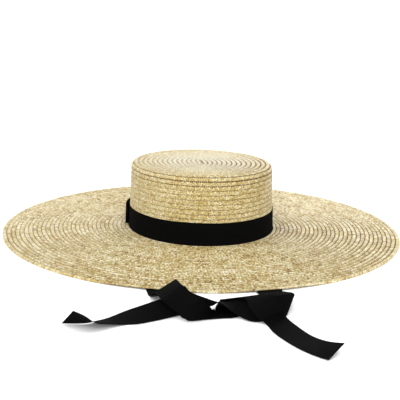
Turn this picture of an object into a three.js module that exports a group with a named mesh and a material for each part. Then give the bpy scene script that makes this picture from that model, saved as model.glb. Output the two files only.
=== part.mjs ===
import * as THREE from "three";

// Wide-brimmed straw boater with a dark ribbon band and two long ribbon ties.
// The ties are sewn inside the crown, run forward under the brim and lie half-knotted in front.
// Millimetres, +Z up. The origin is on the crown axis at the surface the hat rests on.
// Front of the hat is -Y, its right-hand side in the front view is +X.

// Crown: an oval box with a rounded top corner. The corner turns are in degrees from level.
const CROWN_HALF_WIDTH = 89.2;
const CROWN_HALF_LENGTH = 102.2;
const CROWN_HEIGHT = 83.8;
const CROWN_TAPER = 2.2;
const TIP_CORNER_RADIUS = 5.5;
const TIP_CORNER_TURNS = [90, 60, 30, 0];
const STRAW_THICKNESS = 2;
const TIP_RING_INSETS = [24, 42, 60, 76];

// Brim: a nearly flat oval ring that rests on its outer edge
const BRIM_WIDTH = 155.2;
const BRIM_THICKNESS = 2.2;
const BRIM_UNDERSIDE_AT_CROWN = 1.6;
const BRIM_DROP_START = 0.72;
const BRIM_DROP_END = 0.9;
const BRIM_EDGE_ROUNDING = 0.7;
const BRIM_RING_FRACTIONS = [0, 0.18, 0.36, 0.54, 0.72, 0.81, 0.9, 1];
const PIECE_GAP = 0.3;

// The brim edge arches a little over each tie: azimuth in degrees from +X, heights in mm
const TIE_ARCH_FLAT_HALF_SPAN = 6.5;
const TIE_ARCH_RAMP = 8;
const TIE_ARCHES = [
  { tie: "left", azimuth: 248, underside: 1.5, top: 0.5 },
  { tie: "right", azimuth: 278, underside: 1.5, top: 0.5 },
];

// Ribbon band around the foot of the crown
const BAND_BOTTOM = 4.1;
const BAND_HEIGHT = 26.3;
const BAND_THICKNESS = 1;

// Folded ribbon ends that close the band on the left side
const LAP_START_AZIMUTH = 148;
const LAP_END_AZIMUTH = 173.5;
const LAP_THICKNESS = 4.4;
const LAP_MARGIN = 0.4;
const LAP_STEPS = 8;

// Ribbon ties
const TIE_WIDTH = 25;
const TIE_THICKNESS = 1;
const TIE_CLEARANCE = 0.05;
const TIE_STEPS_PER_ROW = 3;
// Points of the ribbon's section: side -1 is edge A and 1 edge B, level -1 below and 1 above
const TIE_SECTION = [[-1, -1], [0, -1], [1, -1], [1, 1], [0, 1], [-1, 1]];

const AROUND = 72;

// Where the photograph was taken from, fitted to the hat's outline: mm, degrees and pixels
const VIEW_DISTANCE = 1050;
const VIEW_ELEVATION = 14.49;
const VIEW_AZIMUTH = 10.1;
const VIEW_ROLL = 1.09;
const VIEW_FOCAL = 827;
const VIEW_CENTRE_COLUMN = 200.42;
const VIEW_CENTRE_ROW = 227.01;

// Route of each tie: its two edges, A and B, at each station.
// Hidden stations have a and b: x, y, z in mm.
// Seen stations have photoA and photoB: column and row on the photograph, and the height in mm.
// An edge without a height lies one ribbon width from the other edge, nearer or further away.
const TIE_LEFT_STATIONS = [
  { place: "sewn", a: [-82.6, -24.5, 34], b: [-85.2, 0.4, 34] },
  { place: "wall", a: [-82.0, -24.5, 14], b: [-84.6, 0.4, 14] },
  { place: "turn", a: [-77.2, -34.1, 1.1], b: [-70.8, -9.9, 1.1] },
  { place: "under crown", a: [-85.1, -48.7, 0.6], b: [-61.9, -39.3, 0.6] },
  { place: "crown front", a: [-92.5, -83.6, 0.6], b: [-67.5, -84.4, 0.6] },
  { place: "under brim", a: [-95, -165, 0.6], b: [-70, -165, 0.6] },
  { place: "brim edge", a: [-95, -243, 0.6], b: [-70, -243, 0.6] },
  { place: "flap", photoA: [149.3, 296.0, 0.8], photoB: [175.6, 294.6, 0.8] },
  { place: "riser", photoA: [151.2, 295.0, 5.5], photoB: [175.8, 289.5, 8.5] },
  { place: "peak", photoA: [154.6, 292.8, 12.5], photoB: [175.5, 279.4], other: "near" },
  { place: "slope", photoA: [161.5, 299.9, 15.2], photoB: [181.2, 284.2], other: "near" },
  { place: "slope mid", photoA: [169.0, 306.4, 11.8], photoB: [188.0, 290.3], other: "near" },
  { place: "slope foot", photoA: [178.5, 314.0, 6.0], photoB: [197.2, 297.0], other: "near" },
  { place: "fold", photoA: [184.9, 318.9, 3.0], photoB: [204.2, 299.4], other: "far" },
  { place: "crease", photoA: [189.2, 321.0, 1.0], photoB: [207.4, 304.4], other: "far" },
  { place: "roll", photoA: [206.5, 319.4, 0.7], photoB: [212.6, 310.2], other: "far" },
  { place: "flat", photoA: [221.5, 318.3, 0.6], photoB: [213.4, 309.5], other: "far" },
  { place: "turn back", photoA: [237.2, 315.8, 0.6], photoB: [216.5, 311.2, 0.6] },
  { place: "under knot", a: [-12.5, -300.0, 0.6], b: [-35.8, -291.0, 0.6] },
  { place: "back roll", a: [-6.0, -286.0, 2.4], b: [-30.7, -282.0, 2.0] },
  { place: "ramp", a: [-5.5, -293.0, 8.5], b: [-29.5, -288.5, 5.7] },
  { place: "over knot", a: [8.4, -322.5, 21.3], b: [-15.2, -314.5, 14.9] },
  { place: "front", photoA: [277.5, 303.0, 16.5], photoB: [250, 308.6], other: "near" },
  { place: "front foot", photoA: [283, 310.0, 10.0], photoB: [257.5, 317.8], other: "near" },
  { place: "on floor", photoA: [287.6, 316.8, 1.8], photoB: [264.8, 324.2, 1.0] },
  { place: "tail near", photoA: [296.3, 325.5, 2.4], photoB: [275.0, 333.5, 0.6] },
  { place: "tail mid", photoA: [311.8, 335.2, 2.6], photoB: [292.5, 345.6, 0.6] },
  { place: "tail far", photoA: [327.8, 340.8, 4.4], photoB: [311.0, 354.6, 0.6] },
  { place: "tail end", photoA: [345.0, 342.6, 8.0], photoB: [328.0, 360.6, 0.6] },
];
const TIE_RIGHT_STATIONS = [
  { place: "sewn", a: [85.2, 0.4, 34], b: [82.6, -24.5, 34] },
  { place: "wall", a: [84.6, 0.4, 14], b: [82.0, -24.5, 14] },
  { place: "turn", a: [70.8, -9.9, 1.1], b: [77.2, -34.1, 1.1] },
  { place: "under crown", a: [61.2, -37.8, 0.6], b: [82.8, -50.2, 0.6] },
  { place: "crown front", a: [53.8, -85.2, 0.6], b: [78.2, -90.8, 0.6] },
  { place: "under brim", a: [36.0, -160, 0.6], b: [60.5, -165, 0.6] },
  { place: "brim edge", a: [13.0, -251, 0.6], b: [38.0, -253, 0.6] },
  { place: "emerge", a: [11.6, -264, 0.8], b: [36.6, -266, 3.0] },
  { place: "bend", photoA: [286.0, 313.8, 1.0], photoB: [294.6, 294.6], other: "far" },
  { place: "face right", photoA: [276, 318.0, 0.8], photoB: [285.5, 294.4], other: "far" },
  { place: "face mid", photoA: [262, 321.6, 0.8], photoB: [268, 296.9], other: "far" },
  { place: "face left", photoA: [250, 321.0, 0.8], photoB: [250, 298.5], other: "far" },
  { place: "knot right", photoA: [240.5, 316.8, 2.2], photoB: [237, 299.5], other: "far" },
  { place: "knot", photoA: [230.5, 310.3, 7.0], photoB: [228, 301.6], other: "far" },
  { place: "knot left", photoA: [221, 303.6, 10.5], photoB: [219.5, 301.8], other: "far" },
  { place: "behind low", photoA: [209.5, 299.4], photoB: [210.3, 306.4, 2.3], other: "near" },
  { place: "behind", photoA: [191, 292.2, 21.5], photoB: [191, 309.5], other: "far" },
  { place: "upright", a: [-68.5, -300.3, 24.3], b: [-68.5, -308.0, 0.7] },
  { place: "leaning", photoA: [175, 294.0], photoB: [175, 316.5, 0.8], other: "far" },
  { place: "tail near", photoA: [160, 299.2], photoB: [160, 319.8, 0.6], other: "far" },
  { place: "tail low", photoA: [140, 305.9], photoB: [140, 323.6, 0.6], other: "far" },
  { place: "tail flat", photoA: [125.5, 311.0], photoB: [125.5, 324.6, 0.6], other: "far" },
  { place: "twist start", photoA: [109, 317.5, 0.8], photoB: [109, 324.0], other: "near" },
  { place: "twist", photoA: [96, 320.9, 0.8], photoB: [96, 323.0], other: "near" },
  { place: "twist end", photoA: [84, 323.2, 0.6], photoB: [84.4, 316.1], other: "near" },
  { place: "tail end", photoA: [61.5, 323.2, 0.6], photoB: [73, 311.0], other: "near" },
];
// The route is rounded to a tenth of a millimetre and a whole degree
const ROUTE_PARTS_PER_MM = 10;

const STRAW = { color: 0xd2bd8a, roughness: 0.7, metalness: 0 };
const RIBBON = { color: 0x17171a, roughness: 0.8, metalness: 0 };

function radians(degrees) {
  return (degrees * Math.PI) / 180;
}

function smoothStep(value) {
  const t = Math.min(1, Math.max(0, value));
  return t * t * (3 - 2 * t);
}

// Point on the crown's oval, moved outwards by `outset`, at azimuth `angle` and height `z`
function ovalPoint(outset, z, angle) {
  return [
    (CROWN_HALF_WIDTH + outset) * Math.cos(angle),
    (CROWN_HALF_LENGTH + outset) * Math.sin(angle),
    z,
  ];
}

function crownInset(z) {
  const share = (z - BRIM_UNDERSIDE_AT_CROWN) / (CROWN_HEIGHT - BRIM_UNDERSIDE_AT_CROWN);
  return CROWN_TAPER * share;
}

// Closed mesh from rings of points: consecutive rings are joined, the ends are closed as asked.
// Each ring has the same number of points and runs the same way round.
function meshFromRings(rings, { wrapRings, wrapRing, capEnds }) {
  const size = rings[0].length;
  const positions = rings.flat(2);
  const indices = [];
  const ringCount = wrapRings ? rings.length : rings.length - 1;
  const stepCount = wrapRing ? size : size - 1;
  for (let i = 0; i < ringCount; i += 1) {
    const next = (i + 1) % rings.length;
    for (let j = 0; j < stepCount; j += 1) {
      const k = (j + 1) % size;
      const a = i * size + j;
      const b = i * size + k;
      const c = next * size + k;
      const d = next * size + j;
      indices.push(a, b, c, a, c, d);
    }
  }
  if (capEnds) {
    for (const [ring, flip] of [[0, true], [rings.length - 1, false]]) {
      const centre = positions.length / 3;
      for (let axis = 0; axis < 3; axis += 1) {
        const sum = rings[ring].reduce((total, point) => total + point[axis], 0);
        positions.push(sum / size);
      }
      for (let j = 0; j < size; j += 1) {
        const a = ring * size + j;
        const b = ring * size + ((j + 1) % size);
        indices.push(...(flip ? [centre, b, a] : [centre, a, b]));
      }
    }
  }
  const geometry = new THREE.BufferGeometry();
  geometry.setAttribute("position", new THREE.Float32BufferAttribute(positions, 3));
  geometry.setIndex(indices);
  return facingOut(geometry);
}

// Turns all triangles round when the enclosed volume comes out negative
function facingOut(geometry) {
  const position = geometry.getAttribute("position");
  const index = geometry.getIndex();
  const corner = [new THREE.Vector3(), new THREE.Vector3(), new THREE.Vector3()];
  let volume = 0;
  for (let i = 0; i < index.count; i += 3) {
    corner.forEach((point, k) => point.fromBufferAttribute(position, index.getX(i + k)));
    volume += corner[0].dot(corner[1].clone().cross(corner[2]));
  }
  if (volume < 0) {
    for (let i = 0; i < index.count; i += 3) {
      const first = index.getX(i);
      index.setX(i, index.getX(i + 1));
      index.setX(i + 1, first);
    }
  }
  geometry.computeVertexNormals();
  return geometry;
}

function azimuths(count) {
  return Array.from({ length: count }, (_, i) => (i / count) * 2 * Math.PI);
}

// Crown shell: outer profile from the tip centre to the foot, inner profile back to the centre
function crownProfile(wall) {
  const radius = TIP_CORNER_RADIUS - wall;
  const cornerInset = CROWN_TAPER + TIP_CORNER_RADIUS;
  const top = CROWN_HEIGHT - wall;
  const profile = [...TIP_RING_INSETS].reverse().map((inset) => ({ inset, z: top }));
  for (const degrees of TIP_CORNER_TURNS) {
    const turn = radians(degrees);
    profile.push({
      inset: cornerInset - radius * Math.cos(turn),
      z: CROWN_HEIGHT - TIP_CORNER_RADIUS + radius * Math.sin(turn),
    });
  }
  for (const z of [BAND_BOTTOM + BAND_HEIGHT, BRIM_UNDERSIDE_AT_CROWN]) {
    profile.push({ inset: crownInset(z) + wall, z });
  }
  return profile;
}

function crownGeometry() {
  const outer = crownProfile(0);
  const inner = crownProfile(STRAW_THICKNESS).reverse();
  const rings = [...outer, ...inner].map(({ inset, z }) =>
    azimuths(AROUND).map((angle) => ovalPoint(-inset, z, angle)));
  return meshFromRings(rings, { wrapRings: false, wrapRing: true, capEnds: true });
}

// How far the brim edge is lifted over the ties at one azimuth
function archLift(angle, key) {
  let lift = 0;
  for (const arch of TIE_ARCHES) {
    const away = Math.abs((angle * 180) / Math.PI - arch.azimuth);
    const share = 1 - smoothStep((away - TIE_ARCH_FLAT_HALF_SPAN) / TIE_ARCH_RAMP);
    lift = Math.max(lift, arch[key] * share);
  }
  return lift;
}

function brimHeight(fraction, angle, key) {
  const dropped = smoothStep((fraction - BRIM_DROP_START) / (BRIM_DROP_END - BRIM_DROP_START));
  return BRIM_UNDERSIDE_AT_CROWN * (1 - dropped) + archLift(angle, key) * dropped;
}

function brimGeometry() {
  const span = BRIM_WIDTH - PIECE_GAP;
  const sections = azimuths(AROUND).map((angle) => {
    const underside = BRIM_RING_FRACTIONS.map((fraction) => {
      const rounding = fraction === 1 ? BRIM_EDGE_ROUNDING : 0;
      const z = brimHeight(fraction, angle, "underside");
      return ovalPoint(PIECE_GAP + fraction * span - rounding, z, angle);
    });
    const top = BRIM_RING_FRACTIONS.map((fraction) => {
      const rounding = fraction === 1 ? BRIM_EDGE_ROUNDING : 0;
      const z = brimHeight(fraction, angle, "top") + BRIM_THICKNESS;
      return ovalPoint(PIECE_GAP + fraction * span - rounding, z, angle);
    }).reverse();
    const edgeHeight = (underside[underside.length - 1][2] + top[0][2]) / 2;
    return [...underside, ovalPoint(BRIM_WIDTH, edgeHeight, angle), ...top];
  });
  return meshFromRings(sections, { wrapRings: true, wrapRing: true, capEnds: false });
}

// Rectangular section that hugs the crown side between two heights
function bandSection(angle, bottom, top, innerOffset, thickness) {
  const corners = [
    [innerOffset, bottom],
    [innerOffset + thickness, bottom],
    [innerOffset + thickness, top],
    [innerOffset, top],
  ];
  return corners.map(([offset, z]) => ovalPoint(offset - crownInset(z), z, angle));
}

function bandGeometry() {
  const top = BAND_BOTTOM + BAND_HEIGHT;
  const sections = azimuths(AROUND).map((angle) =>
    bandSection(angle, BAND_BOTTOM, top, PIECE_GAP, BAND_THICKNESS));
  return meshFromRings(sections, { wrapRings: true, wrapRing: true, capEnds: false });
}

function lapGeometry() {
  const sections = [];
  const bottom = BAND_BOTTOM + LAP_MARGIN;
  const top = BAND_BOTTOM + BAND_HEIGHT - LAP_MARGIN;
  const offset = PIECE_GAP + BAND_THICKNESS + PIECE_GAP;
  for (let i = 0; i <= LAP_STEPS; i += 1) {
    const azimuth = THREE.MathUtils.lerp(LAP_START_AZIMUTH, LAP_END_AZIMUTH, i / LAP_STEPS);
    sections.push(bandSection(radians(azimuth), bottom, top, offset, LAP_THICKNESS));
  }
  return meshFromRings(sections, { wrapRings: false, wrapRing: true, capEnds: true });
}

// Place and axes of the camera
function photoView() {
  const elevation = radians(VIEW_ELEVATION);
  const turned = (x, y, z) =>
    new THREE.Vector3(x, y, z).applyAxisAngle(new THREE.Vector3(0, 0, 1), -radians(VIEW_AZIMUTH));
  const forward = turned(0, Math.cos(elevation), -Math.sin(elevation));
  const up = turned(0, Math.sin(elevation), Math.cos(elevation));
  const right = turned(1, 0, 0);
  return { forward, up, right, place: forward.clone().multiplyScalar(-VIEW_DISTANCE) };
}

// Direction in which the camera sees one place on the photograph
function sightLine(view, column, row) {
  const roll = radians(VIEW_ROLL);
  const across = column - VIEW_CENTRE_COLUMN;
  const below = row - VIEW_CENTRE_ROW;
  const sideways = (across * Math.cos(roll) + below * Math.sin(roll)) / VIEW_FOCAL;
  const down = (below * Math.cos(roll) - across * Math.sin(roll)) / VIEW_FOCAL;
  return view.forward.clone()
    .addScaledVector(view.right, sideways)
    .addScaledVector(view.up, -down)
    .normalize();
}

function edgeAtHeight(view, [column, row, height]) {
  const sight = sightLine(view, column, row);
  return view.place.clone().addScaledVector(sight, (height - view.place.z) / sight.z);
}

// Edge that lies one ribbon width from a known edge, or as near to that as its sight line comes
function edgeAcross(view, [column, row], known, other) {
  const sight = sightLine(view, column, row);
  const offset = view.place.clone().sub(known);
  const closest = -sight.dot(offset);
  const spare = closest * closest - offset.lengthSq() + TIE_WIDTH * TIE_WIDTH;
  const half = Math.sqrt(Math.max(spare, 0));
  return view.place.clone().addScaledVector(sight, other === "near" ? closest - half : closest + half);
}

function stationEdges(view, { a, b, photoA, photoB, other }) {
  if (a) {
    return [new THREE.Vector3(...a), new THREE.Vector3(...b)];
  }
  const edgeA = photoA.length === 3 ? edgeAtHeight(view, photoA) : null;
  const edgeB = photoB.length === 3 ? edgeAtHeight(view, photoB) : null;
  return [
    edgeA ?? edgeAcross(view, photoA, edgeB, other),
    edgeB ?? edgeAcross(view, photoB, edgeA, other),
  ];
}

// Centre of the ribbon, compass direction of its width from A to B, and rise of its width
function routeRow(view, station) {
  const [edgeA, edgeB] = stationEdges(view, station);
  const centre = edgeA.clone().add(edgeB).divideScalar(2);
  const width = edgeB.clone().sub(edgeA).normalize();
  const rounded = (value) => Math.round(value * ROUTE_PARTS_PER_MM) / ROUTE_PARTS_PER_MM;
  return {
    x: rounded(centre.x),
    y: rounded(centre.y),
    z: rounded(centre.z),
    across: Math.round(THREE.MathUtils.radToDeg(Math.atan2(width.y, width.x))),
    tilt: Math.round(THREE.MathUtils.radToDeg(Math.asin(width.z))),
  };
}

// Catmull-Rom value through a list of vectors
function smoothValue(values, position) {
  const last = values.length - 1;
  const i = Math.min(Math.floor(position), last - 1);
  const u = position - i;
  const before = values[Math.max(i - 1, 0)];
  const from = values[i];
  const to = values[i + 1];
  const after = values[Math.min(i + 2, last)];
  const weights = [
    [before, -0.5 * u + u * u - 0.5 * u * u * u],
    [from, 1 - 2.5 * u * u + 1.5 * u * u * u],
    [to, 0.5 * u + 2 * u * u - 1.5 * u * u * u],
    [after, -0.5 * u * u + 0.5 * u * u * u],
  ];
  const value = new THREE.Vector3();
  weights.forEach(([vector, weight]) => value.addScaledVector(vector, weight));
  return value;
}

function widthDirection({ across, tilt }) {
  const level = Math.cos(radians(tilt));
  return new THREE.Vector3(
    level * Math.cos(radians(across)),
    level * Math.sin(radians(across)),
    Math.sin(radians(tilt)),
  );
}

// Flat ribbon swept along its route, never below the surface it lies on
function tieGeometry(stations) {
  const view = photoView();
  const rows = stations.map((station) => routeRow(view, station));
  const centres = rows.map((row) => new THREE.Vector3(row.x, row.y, row.z));
  const widths = rows.map(widthDirection);
  const count = (rows.length - 1) * TIE_STEPS_PER_ROW;
  const path = Array.from({ length: count + 1 }, (_, i) =>
    smoothValue(centres, i / TIE_STEPS_PER_ROW));
  const sections = path.map((centre, i) => {
    const across = smoothValue(widths, i / TIE_STEPS_PER_ROW).normalize();
    const ahead = path[Math.min(i + 1, count)].clone().sub(path[Math.max(i - 1, 0)]);
    const normal = ahead.cross(across).normalize();
    const section = [];
    for (const [side, level] of TIE_SECTION) {
      const point = centre.clone()
        .addScaledVector(across, (side * TIE_WIDTH) / 2);
      point.z = Math.max(point.z, TIE_CLEARANCE + (Math.abs(normal.z) * TIE_THICKNESS) / 2);
      point.addScaledVector(normal, (level * TIE_THICKNESS) / 2);
      section.push(point.toArray());
    }
    return section;
  });
  return meshFromRings(sections, { wrapRings: false, wrapRing: true, capEnds: true });
}

function namedMesh(name, geometry, finish) {
  const mesh = new THREE.Mesh(geometry, new THREE.MeshStandardMaterial(finish));
  mesh.name = name;
  return mesh;
}

const hat = new THREE.Group();
hat.name = "straw_hat";
hat.add(namedMesh("crown", crownGeometry(), STRAW));
hat.add(namedMesh("brim", brimGeometry(), STRAW));
hat.add(namedMesh("hat_band", bandGeometry(), RIBBON));
hat.add(namedMesh("band_lap", lapGeometry(), RIBBON));
hat.add(namedMesh("tie_left", tieGeometry(TIE_LEFT_STATIONS), RIBBON));
hat.add(namedMesh("tie_right", tieGeometry(TIE_RIGHT_STATIONS), RIBBON));

export default hat;
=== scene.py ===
"""Wide-brimmed straw boater: lapped rows of plaited straw, grosgrain band and two ribbon ties."""
import math

import bpy
import numpy as np
from mathutils import Matrix, Vector


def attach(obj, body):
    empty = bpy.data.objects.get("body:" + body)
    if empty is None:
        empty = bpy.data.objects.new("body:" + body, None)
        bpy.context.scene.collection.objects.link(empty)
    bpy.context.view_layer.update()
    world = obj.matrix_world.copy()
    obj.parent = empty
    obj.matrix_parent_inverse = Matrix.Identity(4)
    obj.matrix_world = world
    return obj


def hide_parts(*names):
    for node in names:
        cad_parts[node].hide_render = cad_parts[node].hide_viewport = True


MM = 0.001
SEED = 7

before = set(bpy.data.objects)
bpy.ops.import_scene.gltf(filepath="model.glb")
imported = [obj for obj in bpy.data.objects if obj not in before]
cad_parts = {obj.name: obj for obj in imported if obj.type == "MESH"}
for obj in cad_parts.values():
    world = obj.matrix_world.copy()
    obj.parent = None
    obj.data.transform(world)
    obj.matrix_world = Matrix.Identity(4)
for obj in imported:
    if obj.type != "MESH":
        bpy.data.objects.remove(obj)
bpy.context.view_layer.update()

# Camera of the picture, fitted to the hat's outline on the photograph: metres, and mm for the lens
CAMERA_PLACE = (-0.17981, -1.00950, 0.26485)
CAMERA_RIGHT = (0.98524, -0.17017, 0.01831)
CAMERA_UP = (0.01962, 0.21855, 0.97563)
CAMERA_LENS = 75.07
SENSOR_WIDTH = 36.0
CAMERA_NEAR = 0.05
CAMERA_FAR = 60.0

# Sizes of the hat, mm, the same as in the CAD model
CROWN_HALF_WIDTH = 89.2
CROWN_HALF_LENGTH = 102.2
CROWN_HEIGHT = 83.8
CROWN_TAPER = 2.2
TIP_CORNER_RADIUS = 5.5
STRAW_THICKNESS = 2.0
BRIM_WIDTH = 155.2
BRIM_THICKNESS = 2.2
BRIM_UNDERSIDE_AT_CROWN = 1.6
BRIM_DROP_START = 0.72
BRIM_DROP_END = 0.9
TIE_ARCH_FLAT_HALF_SPAN = 6.5
TIE_ARCH_RAMP = 8.0
TIE_ARCHES = [
    {"azimuth": 248.0, "underside": 1.5, "top": 0.5},
    {"azimuth": 278.0, "underside": 1.5, "top": 0.5},
]
BAND_BOTTOM = 4.1
BAND_HEIGHT = 26.3
BAND_INNER = 0.3
BAND_OUTER = 1.3
LAP_START_AZIMUTH = 148.0
LAP_END_AZIMUTH = 173.5
LAP_OUTER = 6.0
TIE_WIDTH = 25.0

# Straw braid
TIP_ROWS = 14
TIP_ROWS_END = 84.0
SIDE_ROWS = 15
BRIM_ROWS = 30
PLAIT_PERIOD = 3.6
PLAITS_PER_ROW = 4
RELIEF_PLAITS_PER_ROW = 2
SAMPLES_PER_PERIOD = 3
ROW_FRACTIONS = np.array([-0.08, 0.12, 0.32, 0.52, 0.72, 0.9, 1.0])
ROW_LIFTS = np.array([-0.8, -0.4, -0.1, 0.12, 0.32, 0.4, -0.4])
ROW_WALK_POINTS = 721
FEWEST_COLUMNS = 24
FLAT_LAP = 0.45
PLAIT_LIFT = 0.28
PLAIT_FLATNESS = 4.0
ROW_SCALLOP = 0.08
SCALLOPED_FROM = 0.8
THINNEST_ROW = 0.05
INSIDE_SINK = 0.2
BRIM_ROWS_INSET = 0.4
BRIM_FLOOR_GAP = 0.05
SPIRAL_BACK = math.radians(90)
SPIRAL_RAMP_START = 0.8
EDGE_SQUARENESS = 0.6
EDGE_STEPS = 8
EDGE_INSET = 1.1
EDGE_TOP_LIFT = 0.25
EDGE_SIDE_LUMP = 0.18
EDGE_TOP_LUMP = 0.1
EDGE_ROWS_BACK = 0.5
EDGE_ROWS_SPAN = 0.45

# Inside of the fold between crown and brim, mm from the crown's foot oval and height
# Columns: out, z
FOOT_TURN_ROWS = [
    (-1.95, 6.0),
    (-1.9, 3.0),
    (-1.6, 2.2),
    (-1.0, 1.7),
    (0.0, 1.5),
    (1.2, 1.5),
]
FOOT_TURN_COLUMNS = 240

# Seeds of the random start of each row's plaits
CROWN_PHASES = 1
INSIDE_PHASES = 2
BRIM_PHASES = 3
UNDERSIDE_PHASES = 4

# Grosgrain ribbon
RIB_PITCH = 1.25
RIB_SAMPLES = 4
WEFT_PITCH = 0.5
RIB_DEPTH = 0.05
RIBBED_HALF = 0.95
RIBBON_SECTION = np.array([-1.0, -0.985, -0.93, -0.6, -0.25, 0.0, 0.25, 0.6, 0.93, 0.985, 1.0])
RIBBON_HALF_THICKNESS = np.array([0.12, 0.3, 0.27, 0.25, 0.25, 0.25, 0.25, 0.25, 0.27, 0.3, 0.12])
FLOOR_CLEARANCE = 0.32
ROUTE_STEPS = 60
BAND_SKIN = 0.1
BAND_FLARE = 0.7
BAND_FLARE_FROM = 0.75
LAP_INNER_GAP = 0.75
LAP_OUTER_GAP = 0.6
LAP_EDGE_GAP = 0.4
LAP_STEPS = 160
LAP_FOLD_STEPS = 14

# The band's top edge is a little wavy
# Columns: waves round the hat, height mm, phase
BAND_WAVES = [
    (3.0, 0.25, 0.6),
    (7.0, 0.15, 2.0),
]

# View that places the ties, a separate fit to the same outline: mm, degrees and pixels
VIEW_DISTANCE = 1050.0
VIEW_ELEVATION = 14.49
VIEW_AZIMUTH = 10.1
VIEW_ROLL = 1.09
VIEW_FOCAL = 827.0
VIEW_CENTRE_COLUMN = 200.42
VIEW_CENTRE_ROW = 227.01

# Route of each tie, the same list as in the CAD model: its two edges, a and b, at each station.
# Hidden stations have a and b: x, y, z in mm.
# Seen stations have photo_a and photo_b: column and row on the photograph, and the height in mm.
# An edge without a height lies one ribbon width from the other edge, nearer or further away.
TIE_LEFT_STATIONS = [
    {"place": "sewn", "a": (-82.6, -24.5, 34), "b": (-85.2, 0.4, 34)},
    {"place": "wall", "a": (-82.0, -24.5, 14), "b": (-84.6, 0.4, 14)},
    {"place": "turn", "a": (-77.2, -34.1, 1.1), "b": (-70.8, -9.9, 1.1)},
    {"place": "under crown", "a": (-85.1, -48.7, 0.6), "b": (-61.9, -39.3, 0.6)},
    {"place": "crown front", "a": (-92.5, -83.6, 0.6), "b": (-67.5, -84.4, 0.6)},
    {"place": "under brim", "a": (-95, -165, 0.6), "b": (-70, -165, 0.6)},
    {"place": "brim edge", "a": (-95, -243, 0.6), "b": (-70, -243, 0.6)},
    {"place": "flap", "photo_a": (149.3, 296.0, 0.8), "photo_b": (175.6, 294.6, 0.8)},
    {"place": "riser", "photo_a": (151.2, 295.0, 5.5), "photo_b": (175.8, 289.5, 8.5)},
    {"place": "peak", "photo_a": (154.6, 292.8, 12.5), "photo_b": (175.5, 279.4), "other": "near"},
    {"place": "slope", "photo_a": (161.5, 299.9, 15.2), "photo_b": (181.2, 284.2), "other": "near"},
    {"place": "slope mid", "photo_a": (169.0, 306.4, 11.8), "photo_b": (188.0, 290.3), "other": "near"},
    {"place": "slope foot", "photo_a": (178.5, 314.0, 6.0), "photo_b": (197.2, 297.0), "other": "near"},
    {"place": "fold", "photo_a": (184.9, 318.9, 3.0), "photo_b": (204.2, 299.4), "other": "far"},
    {"place": "crease", "photo_a": (189.2, 321.0, 1.0), "photo_b": (207.4, 304.4), "other": "far"},
    {"place": "roll", "photo_a": (206.5, 319.4, 0.7), "photo_b": (212.6, 310.2), "other": "far"},
    {"place": "flat", "photo_a": (221.5, 318.3, 0.6), "photo_b": (213.4, 309.5), "other": "far"},
    {"place": "turn back", "photo_a": (237.2, 315.8, 0.6), "photo_b": (216.5, 311.2, 0.6)},
    {"place": "under knot", "a": (-12.5, -300.0, 0.6), "b": (-35.8, -291.0, 0.6)},
    {"place": "back roll", "a": (-6.0, -286.0, 2.4), "b": (-30.7, -282.0, 2.0)},
    {"place": "ramp", "a": (-5.5, -293.0, 8.5), "b": (-29.5, -288.5, 5.7)},
    {"place": "over knot", "a": (8.4, -322.5, 21.3), "b": (-15.2, -314.5, 14.9)},
    {"place": "front", "photo_a": (277.5, 303.0, 16.5), "photo_b": (250, 308.6), "other": "near"},
    {"place": "front foot", "photo_a": (283, 310.0, 10.0), "photo_b": (257.5, 317.8), "other": "near"},
    {"place": "on floor", "photo_a": (287.6, 316.8, 1.8), "photo_b": (264.8, 324.2, 1.0)},
    {"place": "tail near", "photo_a": (296.3, 325.5, 2.4), "photo_b": (275.0, 333.5, 0.6)},
    {"place": "tail mid", "photo_a": (311.8, 335.2, 2.6), "photo_b": (292.5, 345.6, 0.6)},
    {"place": "tail far", "photo_a": (327.8, 340.8, 4.4), "photo_b": (311.0, 354.6, 0.6)},
    {"place": "tail end", "photo_a": (345.0, 342.6, 8.0), "photo_b": (328.0, 360.6, 0.6)},
]
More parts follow.
